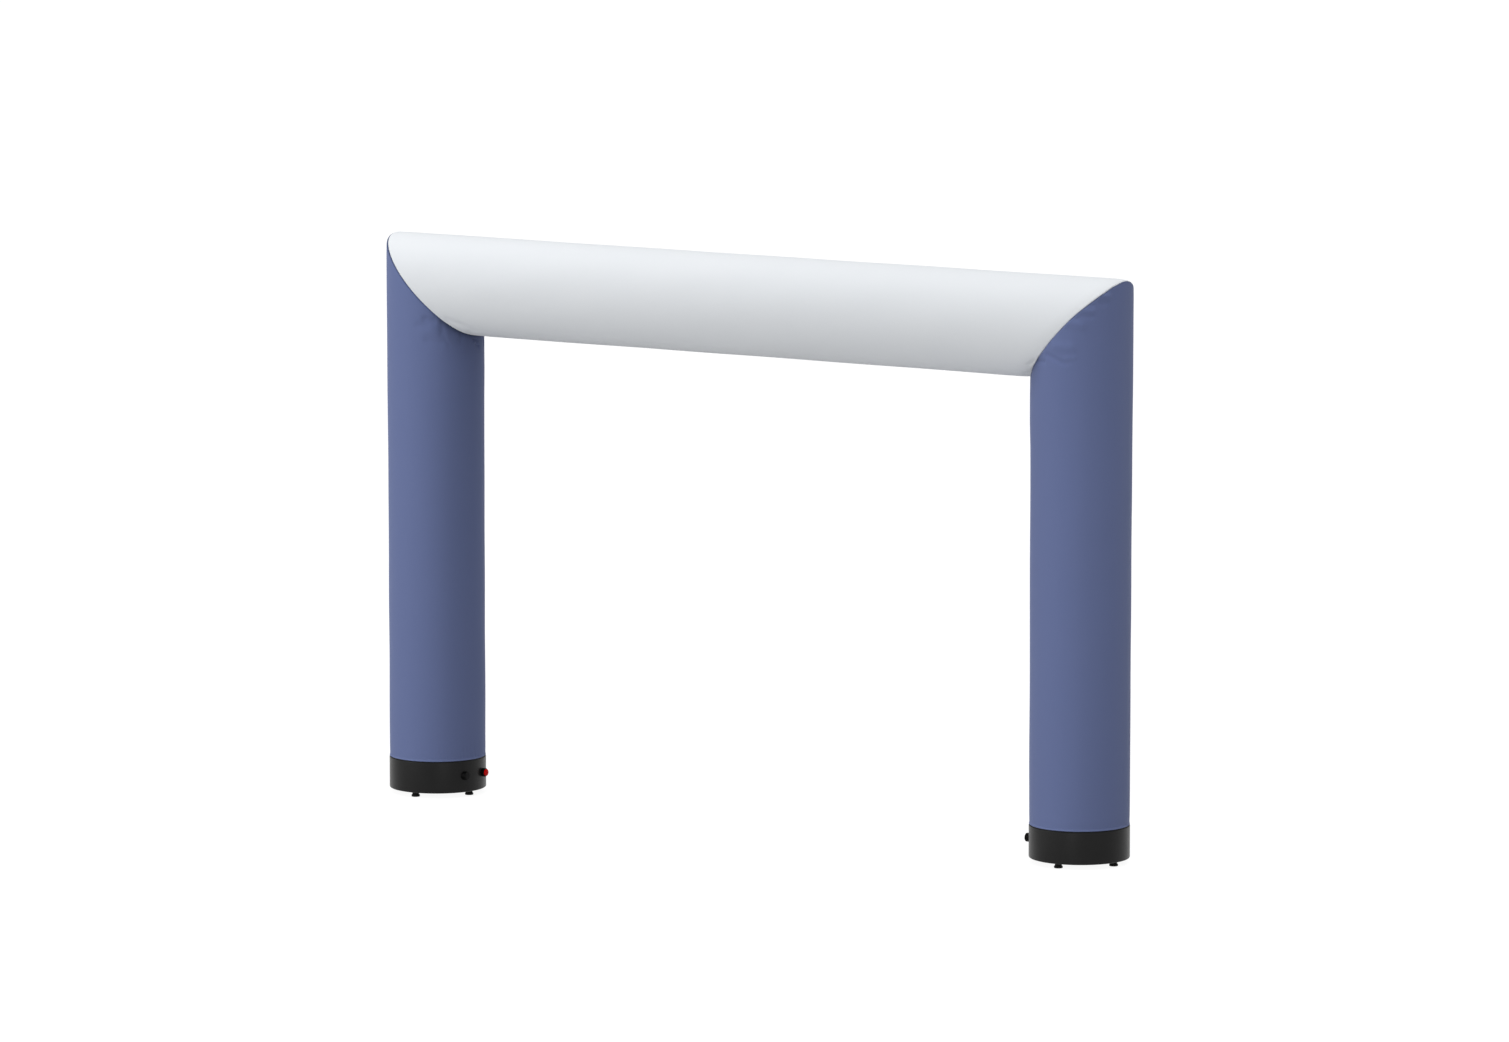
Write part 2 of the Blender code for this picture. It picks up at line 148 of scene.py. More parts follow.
# Folds of the cloth.  Each runs between two points of the tube, given by the angle and by the
# distance from the seam.  A positive depth is a trough and a negative one a ridge.
Fold = namedtuple("Fold", "from_angle from_seam to_angle to_seam half_width depth")
LEG_LEFT_FOLDS = (
    Fold(-66, 0.100, -57, 0.062, 0.028, 0.0100),
    Fold(-76, 0.200, -65, 0.143, 0.022, 0.0050),
    Fold(-64, 0.235, -49, 0.180, 0.030, 0.0055),
    Fold(-47, 0.025, -47, 0.105, 0.025, 0.0066),
    Fold(-22, 0.018, -24, 0.070, 0.018, 0.0065),
    Fold(20, 0.020, 24, 0.110, 0.016, 0.0060),
    Fold(44, 0.030, 38, 0.120, 0.018, 0.0055),
    Fold(64, 0.060, 84, 0.190, 0.024, 0.0055),
)
LEG_RIGHT_FOLDS = (
    Fold(-79, 0.072, -98, 0.232, 0.017, 0.0088),
    Fold(-102, 0.262, -109, 0.298, 0.018, 0.0035),
    Fold(-61, 0.020, -74, 0.092, 0.016, 0.0085),
    Fold(-91, 0.083, -109, 0.201, 0.034, -0.0080),
    Fold(-102, 0.234, -113, 0.292, 0.022, -0.0040),
    Fold(-105, 0.012, -121, 0.114, 0.027, -0.0075),
    Fold(-121, 0.010, -133, 0.073, 0.020, -0.0060),
    Fold(-119, 0.037, -132, 0.100, 0.018, 0.0040),
    Fold(-142, 0.010, -152, 0.052, 0.022, -0.0068),
    Fold(-140, 0.044, -149, 0.080, 0.020, 0.0040),
    Fold(-40, 0.020, -33, 0.110, 0.016, 0.0062),
    Fold(-12, 0.015, -8, 0.090, 0.016, 0.0065),
    Fold(14, 0.015, 18, 0.130, 0.017, 0.0065),
    Fold(58, 0.060, 80, 0.170, 0.024, 0.0055),
)
BEAM_LEFT_FOLDS = (
    Fold(-50, 0.070, -45, 0.130, 0.032, 0.0062),
    Fold(-41, 0.150, -34, 0.170, 0.028, 0.0048),
    Fold(-29, 0.100, -20, 0.080, 0.020, 0.0050),
    Fold(-7, 0.015, -9, 0.120, 0.016, 0.0062),
    Fold(13, 0.015, 11, 0.100, 0.016, 0.0062),
    Fold(38, 0.030, 32, 0.130, 0.020, 0.0052),
)
BEAM_RIGHT_FOLDS = (
    Fold(-47, 0.038, -54, 0.012, 0.018, 0.0055),
    Fold(-28, 0.046, -29, 0.010, 0.016, 0.0058),
    Fold(-12, 0.015, -10, 0.110, 0.016, 0.0062),
    Fold(10, 0.015, 14, 0.120, 0.017, 0.0058),
    Fold(49, 0.040, 42, 0.120, 0.020, 0.0052),
)

# Finer folds, too small for the solids.
LEG_LEFT_CREASES = (
    Fold(-44, 0.126, -38, 0.154, 0.017, 0.0036),
    Fold(-4, 0.043, 4, 0.058, 0.010, 0.0100),
    Fold(1, 0.081, 7, 0.099, 0.010, 0.0100),
    Fold(52, 0.030, 58, 0.070, 0.012, 0.0045),
)
LEG_RIGHT_CREASES = (
    Fold(-112, 0.014, -116, 0.040, 0.010, 0.0030),
    Fold(-130, 0.012, -134, 0.034, 0.010, 0.0030),
    Fold(36, 0.030, 30, 0.070, 0.012, 0.0045),
)
FOLD_FADE = 0.014
FOLD_END = 0.29
FOLD_END_FADE = 0.035

# Gathers: short fine puckers that run from the stitches into the cloth.
GATHER_SPACING = (2.0, 6.5)
GATHER_SLANT = (-25, 25)
GATHER_LENGTH = (0.025, 0.10)
GATHER_HALF_WIDTH = (0.0050, 0.0095)
GATHER_DEPTH = (0.0005, 0.0018)
GATHER_FADE = 0.006
GATHER_FADE_POWER = 1.4
GATHER_OUTER_SHARE = 0.4
HEM_GATHER_SHARE = 0.6

# Shade painted on a leg in the corner under the beam, where the beam keeps light off it: strong
# next to the seam, weaker further down.
SHADE_ANGLE_LEFT = -10
SHADE_ANGLE_RIGHT = -22
SHADE_HALF_ANGLE = 30
SHADE_FADE_ANGLE = 26
SHADE_NEAR = 0.52
SHADE_NEAR_LENGTH = 0.042
SHADE_WIDE = 0.26
SHADE_WIDE_LENGTH = 0.16
# Shade painted into the crease right at the seam, all the way round.
SHADE_CREASE = 0.55
SHADE_CREASE_LENGTH = 0.0065

# Slow unevenness of the blown-up cloth: a sum of waves, each with whole turns around the tube, a
# rate along it, a phase and a size.
UNEVEN_HEIGHT = 0.00035
UNEVEN_WAVES = 9
UNEVEN_TURNS = (1, 7)
UNEVEN_RATE = (1.5, 9.0)
UNEVEN_PHASE = (0, 6.28)
UNEVEN_SIZE = (0.4, 1)
UNEVEN_END_FADE = 0.12

# Seeds of the random draws.  A leg adds its side to its own.
LEG_GATHER_SEED = 11
HEM_GATHER_SEED = 21
LEG_UNEVEN_SEED = 31
BEAM_GATHER_SEEDS = {-1: 41, 1: 43}
BEAM_UNEVEN_SEED = 47

# Stitches.
STITCH_LENGTH = 0.0048
STITCH_PITCH = 0.0072
STITCH_RADIUS = 0.0006
STITCH_SIDES = 6
SEAM_STITCH_DISTANCE = 0.010
# Points of a ring from the closing seam to its row of stitches.
CLOSING_STITCH_COLUMN = 2
# Loops of points along one stitch: the place as a part of its length, then the loop's size and its
# lift off the cloth, both in thread radii.
Station = namedtuple("Station", "part size lift")
STITCH_STATIONS = (
    Station(0.0, 0.35, -0.9),
    Station(0.22, 1.0, 0.25),
    Station(0.78, 1.0, 0.25),
    Station(1.0, 0.35, -0.9),
)

# Axis that a tube runs along, as a column of its points, and the columns that lead away from it.
LEG_AXIS = 2
BEAM_AXIS = 0
OFF_LEG = np.array([1, 1, 0])
OFF_BEAM = np.array([0, 1, 1])

# Base drum: the cloth stands on a low collar, set back from the drum's wall.
DRUM_SEGMENTS = 192
DRUM_COLLAR_RADIUS = 0.336
DRUM_COLLAR_HEIGHT = 0.006
DRUM_TOP_EDGE = 0.003
DRUM_BOTTOM_EDGE = 0.008

# Rubber feet.
FOOT_COUNT = 4
FOOT_NECK_RADIUS = 0.024
FOOT_PAD_RADIUS = 0.030
FOOT_PAD_HEIGHT = 0.012
FOOT_FLARE_HEIGHT = 0.006
FOOT_PAD_EDGE = 0.002
FOOT_SEGMENTS = 48

# Round ports on the archway side of the drums.  They point straight along the arch.  Each has a
# place across the arch, and a root inside the drum and a face along it, all from the drum's axis.
PORT_HEIGHT = 0.157
PORT_RADIUS = 0.0305
PORT_EDGE = 0.004
PORT_ROOT = 0.300
PORT_ACROSS = -0.122
PORT_FACE = 0.346
COLLAR_ACROSS = 0.077
COLLAR_FACE = 0.365
CAP_RADIUS = 0.0245
CAP_REACH = 0.011
CAP_SKIRT = 0.006
PORT_SEGMENTS = 64

# Steps of a rounded edge, the angle from which an edge is shaded sharp, and the distance within
# which points are merged.
ARC_STEPS = 8
SHARP_ANGLE = 40
SAME_POINT = 1e-6

# Camera.
CAMERA_AZIMUTH = 33.358
CAMERA_ELEVATION = 7.576
CAMERA_DISTANCE = 57.83
CAMERA_TARGET = (0.033, 0.0, 2.148)
CAMERA_LENS = 198.62
CAMERA_SENSOR = 36
CAMERA_CLIP = (1, 1000)

# Pale floor, and a pale backdrop far round the arch.
STAGE_ROUGHNESS = 0.9
FLOOR_SIZE = 600
FLOOR_COLOR = (0.15, 0.15, 0.15)
FLOOR_GLOW = 0.93
BACKDROP_RADIUS = 280
BACKDROP_SEGMENTS = 48
BACKDROP_COLOR = (0, 0, 0)
BACKDROP_GLOW = 1.0


def smooth(value):
    """Smooth step from 0 to 1, for a number or an array."""
    value = np.clip(value, 0.0, 1.0)
    return value * value * (3 - 2 * value)


def wrap(angle):
    """The same angle between -180 and 180."""
    return (angle + 180) % 360 - 180


# ---------------------------------------------------------------- cloth surface

def seam_value(name, angles, side):
    """One column of the seam table at each angle, for the corner on one side."""
    column = ("left_" if side < 0 else "right_") + name
    rows = np.array([row.angle for row in SEAM], float)
    values = np.array([getattr(row, column) for row in SEAM])
    place = np.clip(np.searchsorted(rows, wrap(angles), side="left"), 1, len(rows) - 1)
    part = smooth((wrap(angles) - rows[place - 1]) / (rows[place] - rows[place - 1]))
    return values[place - 1] + (values[place] - values[place - 1]) * part


def seam_rise(distance, roll):
    """Share of the way from the seam's radius to the free radius, by distance from the seam."""
    tight = 1 - np.minimum(1.0, distance / roll.length)
    soft = 1 - min(1.0, distance / SWELL_LENGTH)
    return 1 - roll.share * tight ** ROLL_POWER - (1 - roll.share) * soft * soft


def laid_flat(angle, distance, radius):
    """Place on the tube's cloth laid flat: across it, and along it from the seam's middle."""
    turn = np.radians(angle)
    return np.stack([turn * radius, distance + radius * np.cos(turn)], axis=-1)


def fold_depth(folds, angles, distance, radius):
    """How far the folds pull the cloth in, at each angle of a ring."""
    points = laid_flat(wrap(angles), distance, radius)
    depth = np.zeros_like(angles)
    for fold in folds:
        start = laid_flat(fold.from_angle, fold.from_seam, radius)
        run = laid_flat(fold.to_angle, fold.to_seam, radius) - start
        along = np.clip((points - start) @ run / (run @ run), 0.0, 1.0)
        away = np.linalg.norm(points - start - along[:, None] * run, axis=1) / fold.half_width
        depth += fold.depth * np.exp(-away * away)
    far = smooth((distance - FOLD_END) / FOLD_END_FADE)
    return depth * smooth(distance / FOLD_FADE) * (1 - far)


Gather = namedtuple("Gather", "angle slant length half_width depth")


def make_gathers(seed):
    """Uneven gathers all round one sewn edge, stronger on the archway side."""
    draw = random.Random(seed)
    gathers = []
    angle = -180.0
    while angle < 180:
        inner = math.cos(math.radians(angle / 2)) ** 2
        share = GATHER_OUTER_SHARE + (1 - GATHER_OUTER_SHARE) * inner
        gathers.append(Gather(
            angle,
            draw.uniform(*GATHER_SLANT),
            draw.uniform(*GATHER_LENGTH) * share,
            draw.uniform(*GATHER_HALF_WIDTH),
            draw.uniform(*GATHER_DEPTH) * share,
        ))
        angle += draw.uniform(*GATHER_SPACING)
    return gathers


def gather_depth(gathers, angles, distance, radius):
    """How far the gathers pull the cloth in, at each angle of a ring."""
    depth = np.zeros_like(angles)
    for gather in gathers:
        if distance >= gather.length:
            continue
        drift = wrap(angles - gather.angle - gather.slant * distance)
        away = np.radians(drift) * radius / gather.half_width
        fade = (1 - distance / gather.length) ** GATHER_FADE_POWER
        depth += gather.depth * fade * np.exp(-away * away)
    return depth * smooth(distance / GATHER_FADE)


def uneven(seed):
    """Function of angle and place along the tube: the cloth's slow unevenness."""
    draw = random.Random(seed)
    waves = [(draw.randint(*UNEVEN_TURNS), draw.uniform(*UNEVEN_RATE),
              draw.uniform(*UNEVEN_PHASE), draw.uniform(*UNEVEN_SIZE))
             for _ in range(UNEVEN_WAVES)]

    def height(angles, along):
        total = sum(size * np.cos(turns * np.radians(angles) + rate * along + phase)
                    for turns, rate, phase, size in waves)
        return UNEVEN_HEIGHT * total
    return height


def closing_depth(angles, radius):
    """How far the lengthways closing seam pulls the cloth in."""
    away = np.radians(wrap(angles - CLOSING_ANGLE)) * radius / CLOSING_HALF_WIDTH
    return CLOSING_DEPTH * np.exp(-away * away)


def tube_angles():
    """Angles of the points around a tube, from its closing seam round and back to it."""
    return CLOSING_ANGLE + 360 * np.arange(TUBE_STEPS) / TUBE_STEPS


def seam_rings():
    """Distances from a seam at which the cloth has a ring of points."""
    distances = [0.0]
    step = SEAM_FIRST_STEP
    while distances[-1] + step < SEAM_ZONE:
        distances.append(distances[-1] + step)
        step = min(step * SEAM_STEP_GROWTH, SEAM_LONGEST_STEP)
    return distances + [SEAM_ZONE]


def corner_radius(angles, distance, side, free_radius, roll, folds, gathers):
    """Radius of a tube near its mitred corner."""
    seam = seam_value("radius", angles, side)
    swollen = seam + (free_radius - seam) * seam_rise(distance, roll)
    pulled = fold_depth(folds, angles, distance, free_radius)
    pulled += gather_depth(gathers, angles, distance, free_radius)
    return swollen - pulled


def between(lower, upper, step):
    """Rings that fill the stretch between two rings in even steps, without either of them."""
    count = math.ceil(np.linalg.norm(upper - lower, axis=1).max() / step)
    return [lower + (upper - lower) * number / count for number in range(1, count)]


class LegCloth:
    """Surface of one upright tube, about its own axis."""

    def __init__(self, side):
        self.side = side
        self.top_radius = LEG_TOP_RADIUS_LEFT if side < 0 else LEG_TOP_RADIUS_RIGHT
        self.folds = LEG_LEFT_FOLDS if side < 0 else LEG_RIGHT_FOLDS
        self.folds += LEG_LEFT_CREASES if side < 0 else LEG_RIGHT_CREASES
        self.gathers = make_gathers(LEG_GATHER_SEED + side)
        self.hem_gathers = make_gathers(HEM_GATHER_SEED + side)
        self.uneven = uneven(LEG_UNEVEN_SEED + side)

    def ring(self, angles, radius, height):
        """Ring of points at one radius and height, or an array of either."""
        turn = np.radians(angles)
        return np.stack([-self.side * radius * np.cos(turn), radius * np.sin(turn),
                         np.broadcast_to(height, angles.shape)], axis=1)

    def corner_ring(self, angles, distance):
        """Ring at a distance from the mitre plane."""
        radius = corner_radius(angles, distance, self.side, self.top_radius, LEG_ROLL,
                               self.folds, self.gathers)
        plane = BEAM_AXIS_HEIGHT - radius * np.cos(np.radians(angles))
        plane += seam_value("rise", angles, self.side)
        return self.ring(angles, radius, plane - MITRE_SHIFT - distance)

    def hem_ring(self, angles, distance, radius):
        """Ring above the hem's groove, with the hem's own small gathers."""
        pulled = gather_depth(self.hem_gathers, angles, distance, radius) * HEM_GATHER_SHARE
        return self.ring(angles, radius - pulled, DRUM_TOP + GAP + HEM_GROOVE_HEIGHT + distance)


def arc(centre, radius, start, end, steps=ARC_STEPS):
    """Points of an arc in the (radius, height) plane, from one angle to another."""
    turns = [math.radians(start + (end - start) * step / steps) for step in range(steps + 1)]
    return [(centre[0] + radius * math.cos(turn), centre[1] + radius * math.sin(turn))
            for turn in turns]


def leg_rings(cloth):
    """All rings of one leg from its hem to its mitred top."""
    angles = tube_angles()
    bottom = DRUM_TOP + GAP
    rings = [cloth.ring(angles, radius, height) for radius, height in
             arc((HEM_RADIUS - HEM_BEAD, bottom + HEM_BEAD), HEM_BEAD, -90, 45)]
    groove = bottom + HEM_GROOVE_HEIGHT
    rows = [(row.height, row.left if cloth.side < 0 else row.right) for row in LEG_PROFILE]
    first_height, first_radius = rows[0]
    hem_zone = first_height - groove
    for distance in seam_rings():
        if distance >= hem_zone:
            break
        part = smooth(distance / hem_zone)
        radius = HEM_GROOVE_RADIUS + (first_radius - HEM_GROOVE_RADIUS) * part
        rings.append(cloth.hem_ring(angles, distance, radius))
    plain = [cloth.ring(angles, radius, height) for height, radius in rows]
    corner = [cloth.corner_ring(angles, distance) for distance in reversed(seam_rings())]
    for ring in plain + corner[:1]:
        rings += between(rings[-1], ring, PLAIN_STEP) + [ring]
    return rings + corner[1:]


class BeamCloth:
    """Surface of the beam, about its own axis."""

    def __init__(self):
        self.gathers = {side: make_gathers(seed) for side, seed in BEAM_GATHER_SEEDS.items()}
        self.folds = {-1: BEAM_LEFT_FOLDS, 1: BEAM_RIGHT_FOLDS}
        self.uneven = uneven(BEAM_UNEVEN_SEED)

    def ring(self, angles, radius, along):
        """Ring of points at one radius and place along the beam."""
        turn = np.radians(angles)
        return np.stack([np.broadcast_to(along, angles.shape), radius * np.sin(turn),
                         -radius * np.cos(turn)], axis=1)

    def corner_ring(self, angles, distance, side):
        """Ring at a distance from one mitred seam; it moves up or down to meet the seam."""
        share = BEAM_ROLL_SHARE_LEFT if side < 0 else BEAM_ROLL_SHARE_RIGHT
        roll = Roll(seam_value("roll", angles, side), share)
        rise = seam_value("rise", angles, side)
        radius = corner_radius(angles, distance, side, BEAM_RADIUS, roll,
                               self.folds[side], self.gathers[side])
        centre = rise * (1 - seam_rise(distance, roll))
        height = centre - radius * np.cos(np.radians(angles))
        plane = LEG_X + height - rise
        return np.stack([side * (plane - MITRE_SHIFT - distance),
                         radius * np.sin(np.radians(angles)), height], axis=1)


def beam_rings(cloth):
    """All rings of the beam from its left mitre to its right one."""
    angles = tube_angles()
    rings = [cloth.corner_ring(angles, distance, -1) for distance in seam_rings()]
    plain = [cloth.ring(angles, row.radius, row.along) for row in BEAM_PROFILE]
    corner = [cloth.corner_ring(angles, distance, 1) for distance in reversed(seam_rings())]
    for ring in plain + corner[:1]:
        rings += between(rings[-1], ring, PLAIN_STEP) + [ring]
    return rings + corner[1:]


# ---------------------------------------------------------------- meshes

def new_object(name, mesh, finish, location=(0, 0, 0)):
    """Smooth-shaded object with its material, in the scene."""
    mesh.shade_smooth()
    mesh.set_sharp_from_angle(angle=math.radians(SHARP_ANGLE))
    mesh.materials.append(finish)
    item = bpy.data.objects.new(name, mesh)
    item.location = location
    bpy.context.scene.collection.objects.link(item)
    return item


def face_outwards(mesh):
    """Turn the mesh's faces so that their normals point out of the solid."""
    shape = bmesh.new()
    shape.from_mesh(mesh)
    bmesh.ops.recalc_face_normals(shape, faces=shape.faces)
    shape.to_mesh(mesh)
    shape.free()


def painted_shade_amount(angles, seam_distance, side):
    """Shade painted on a leg, from 0 to 1, by angle and by distance down from its seam."""
    away = np.abs(wrap(angles - (SHADE_ANGLE_LEFT if side < 0 else SHADE_ANGLE_RIGHT)))
    inner = 1 - smooth((away - SHADE_HALF_ANGLE) / SHADE_FADE_ANGLE)
    near = SHADE_NEAR * np.exp(-(seam_distance / SHADE_NEAR_LENGTH) ** 2)
    wide = SHADE_WIDE * np.exp(-(seam_distance / SHADE_WIDE_LENGTH) ** 2)
    crease = SHADE_CREASE * np.exp(-(seam_distance / SHADE_CREASE_LENGTH) ** 2)
    unshaded = (1 - inner * (near + wide)) * (1 - crease)
    return 1 - unshaded


def tube_points(rings, along_axis, cloth, radius):
    """Rings of points with the cloth's slow unevenness and its closing seam drawn in."""
    points = np.array(rings)
    angles = tube_angles()
    along = points[:, :, along_axis]
    centre = points.copy()
    centre[:, :, [axis for axis in range(3) if axis != along_axis]] = 0
    outward = points - centre
    outward /= np.linalg.norm(outward, axis=2, keepdims=True)
    edge_distance = np.minimum(along - along.min(axis=0), along.max(axis=0) - along)
    free = smooth(edge_distance / UNEVEN_END_FADE)
    change = cloth.uneven(angles[None, :], along) * free
    closed = smooth(edge_distance / CLOSING_END_FADE)
    change = change - closing_depth(angles, radius)[None, :] * closed
    return points + outward * change[:, :, None]


def tube_mesh(name, points, along_axis, radius, painted_shade=None):
    """Closed mesh over rings of points, with UVs in metres: around the tube and along it.

    The painted shade is the shade, from 0 to 1, painted at each of the points.
    """
    along = points[:, :, along_axis]
    count, steps = points.shape[:2]
    index = np.arange(count * steps).reshape(count, steps)
    after = np.roll(index, -1, axis=1)
    quads = np.stack([index[:-1], after[:-1], after[1:], index[1:]], axis=-1).reshape(-1, 4)
    middles = [points[0].mean(axis=0), points[-1].mean(axis=0)]
    fans = [(one, other, index.size + end) for end, row in enumerate((0, -1))
            for one, other in zip(index[row].tolist(), after[row].tolist())]
    mesh = bpy.data.meshes.new(name)
    mesh.from_pydata(np.vstack([points.reshape(-1, 3), middles]).tolist(), [],
                     quads.tolist() + fans)

    around = np.arange(steps + 1) * (2 * math.pi * radius / steps)
    across = np.broadcast_to(around, (count, steps + 1))
    length = np.concatenate([along, along[:, :1]], axis=1)
    grid = np.stack([across, length], axis=-1)
    corners = np.stack([grid[:-1, :-1], grid[:-1, 1:], grid[1:, 1:], grid[1:, :-1]], axis=2)
    layer = mesh.uv_layers.new(name="cloth")
    flat = np.zeros((len(mesh.loops), 2), np.float32)
    flat[:quads.size] = corners.reshape(-1, 2)
    layer.data.foreach_set("uv", flat.ravel())
    # Store the painted shade of each point, for the cloth material.
    if painted_shade is not None:
        shade_attribute = mesh.attributes.new("painted_shade_amount", "FLOAT", "POINT")
        ends = np.zeros(len(middles))
        shade_attribute.data.foreach_set("value", np.append(painted_shade, ends).astype(np.float32))
    face_outwards(mesh)
    return mesh


def turned(name, profile, segments, finish):
    """Closed solid turned about Z from (radius, height) points that start and end on the axis."""
    shape = bmesh.new()
    points = [shape.verts.new((radius, 0, height)) for radius, height in profile]
    edges = [shape.edges.new(pair) for pair in zip(points, points[1:])]
    bmesh.ops.spin(shape, geom=points + edges, cent=(0, 0, 0), axis=(0, 0, 1),
                   angle=2 * math.pi, steps=segments, use_merge=True)
    bmesh.ops.remove_doubles(shape, verts=shape.verts, dist=SAME_POINT)
    bmesh.ops.recalc_face_normals(shape, faces=shape.faces)
    mesh = bpy.data.meshes.new(name)
    shape.to_mesh(mesh)
    shape.free()
    return new_object(name, mesh, finish)


# ---------------------------------------------------------------- materials

class Nodes:
    """Small helper that adds nodes and links to one material."""

    def __init__(self, name):
        self.material = bpy.data.materials.new(name)
        self.material.use_nodes = True
        self.tree = self.material.node_tree
        self.shader = self.tree.nodes["Principled BSDF"]

    def add(self, kind, **values):
        """New node; a value sets an input of that name, or else a setting of the node."""
        node = self.tree.nodes.new(kind)
        for key, value in values.items():
            spaced = key.replace("_", " ")
            if spaced in node.inputs:
                node.inputs[spaced].default_value = value
            else:
                setattr(node, key, value)
        return node

    def link(self, source, target):
        """Link an output socket to an input socket."""
        self.tree.links.new(source, target)

    def object_place(self):
        """Place on the object, in metres."""
        return self.add("ShaderNodeTexCoord").outputs["Object"]

    def noise(self, place, look):
        """Noise from 0 to 1 over a place."""
        node = self.add("ShaderNodeTexNoise", Scale=look.scale, Detail=look.detail,
                        Roughness=look.roughness)
        self.link(place, node.inputs["Vector"])
        return node.outputs["Fac"]

    def product(self, first, second):
        """Product of two values."""
        node = self.add("ShaderNodeMath", operation="MULTIPLY")
        self.link(first, node.inputs[0])
        self.link(second, node.inputs[1])
        return node.outputs["Value"]

    def ramp(self, source, low, high):
        """Map a 0 to 1 value to the range from low to high."""
        node = self.add("ShaderNodeMapRange")
        node.inputs["To Min"].default_value = low
        node.inputs["To Max"].default_value = high
        self.link(source, node.inputs["Value"])
        return node.outputs["Result"]

    def blend(self, color, other_color, factor):
        """Blend of two colours; the first may be another node's output."""
        node = self.add("ShaderNodeMix", data_type="RGBA")
        if isinstance(color, bpy.types.NodeSocket):
            self.link(color, node.inputs["A"])
        else:
            node.inputs["A"].default_value = (*color, 1)
        node.inputs["B"].default_value = (*other_color, 1)
        self.link(factor, node.inputs["Factor"])
        return node.outputs["Result"]

    def bump(self, height, look, under=None):
        """Fine relief from a height, on top of the relief under it."""
        node = self.add("ShaderNodeBump", Strength=look.strength, Distance=look.distance)
        self.link(height, node.inputs["Height"])
        if under is not None:
            self.link(under, node.inputs["Normal"])
        return node.outputs["Normal"]

    def set_shader(self, **values):
        """Set the shader's own inputs, each to an output of another node or to a plain value."""
        for key, value in values.items():
            target = self.shader.inputs[key.replace("_", " ")]
            if isinstance(value, bpy.types.NodeSocket):
                self.link(value, target)
            else:
                target.default_value = value


Noise = namedtuple("Noise", "scale detail roughness")
Bump = namedtuple("Bump", "strength distance")

# Coated woven cloth.  The weave's wave repeats every pi / (10 x scale): one thread in 2.4 mm.
BLUE = (0.147, 0.189, 0.376)
BLUE_WORN = (0.156, 0.197, 0.385)
WHITE = (0.854, 0.879, 0.908)
WHITE_WORN = (0.824, 0.854, 0.887)
# Colour of the shade painted into the legs' corners and seam creases.
PAINTED_SHADE_COLOR = (0.012, 0.014, 0.022)
CLOTH_TONE = Noise(2.3, 5.0, 0.55)
CLOTH_FLECK = Noise(46.0, 3.0, 0.6)
CLOTH_FLECK_RANGE = (0.7, 1.3)
CLOTH_ROUGHNESS = (0.56, 0.70)
CLOTH_SPECULAR = 0.06
CLOTH_SHEEN_ROUGHNESS = 0.45
BLUE_SHEEN = 0.1
WHITE_SHEEN = 0.05
WEAVE_SCALE = 132.69639
WEAVE_BUMP = Bump(0.25, 0.0002)
HANDLE = Noise(9.0, 4.0, 0.5)
HANDLE_BUMP = Bump(0.35, 0.004)

# Moulded plastic and rubber.
Moulding = namedtuple("Moulding", "color dusty_color roughness specular grain grain_depth")
MOULDINGS = {
    "black_plastic": Moulding(
        (0.008, 0.008, 0.008), (0.012, 0.012, 0.012), 0.34, 0.14, 900.0, 0.0003),
    "port_plastic": Moulding(
        (0.001, 0.001, 0.001), (0.002, 0.002, 0.002), 0.5, 0.05, 900.0, 0.0002),
    "black_rubber": Moulding(
        (0.006, 0.006, 0.006), (0.010, 0.010, 0.009), 0.7, 0.15, 500.0, 0.0004),
    "red_plastic": Moulding(
        (0.78, 0.001, 0.001), (0.72, 0.002, 0.002), 0.3, 0.06, 600.0, 0.0001),
}
DUST = Noise(7.0, 6.0, 0.6)
ROUGHNESS_SPREAD = 0.06
GRAIN_DETAIL = 2.0
GRAIN_ROUGHNESS = 0.5
GRAIN_STRENGTH = 0.5

# Thread.
THREAD_TWIST = Noise(900.0, 1.0, 0.5)
THREAD_SHADE = 0.8
THREAD_ROUGHNESS = 0.6
THREAD_SHEEN = 0.2


def cloth_material(name, color, worn_color, sheen):
    """Coated woven polyester: fine plain weave, a soft handle, faint changes of tone, and shade
    painted into the colour from the mesh's shade attribute.
    """
    nodes = Nodes(name)
    metres = nodes.add("ShaderNodeUVMap", uv_map="cloth").outputs["UV"]
    place = nodes.object_place()

    tone = nodes.noise(place, CLOTH_TONE)
    fleck = nodes.noise(place, CLOTH_FLECK)
    worn = nodes.product(tone, nodes.ramp(fleck, *CLOTH_FLECK_RANGE))
    unshaded = nodes.blend(color, worn_color, worn)
    # Painted shade: the mesh's attribute blends the colour towards the painted shade colour.
    shade_attribute = nodes.add("ShaderNodeAttribute", attribute_name="painted_shade_amount").outputs["Fac"]

    threads = []
    for way in ("X", "Y"):
        thread = nodes.add("ShaderNodeTexWave", bands_direction=way, Scale=WEAVE_SCALE)
        nodes.link(metres, thread.inputs["Vector"])
        threads.append(thread.outputs["Fac"])
    weave = nodes.bump(nodes.product(*threads), WEAVE_BUMP)
    handle = nodes.bump(nodes.noise(place, HANDLE), HANDLE_BUMP, under=weave)

    nodes.set_shader(Base_Color=nodes.blend(unshaded, PAINTED_SHADE_COLOR, shade_attribute), Normal=handle,
                     Roughness=nodes.ramp(tone, *CLOTH_ROUGHNESS), Sheen_Weight=sheen,
                     Sheen_Roughness=CLOTH_SHEEN_ROUGHNESS, Specular_IOR_Level=CLOTH_SPECULAR)
    return nodes.material


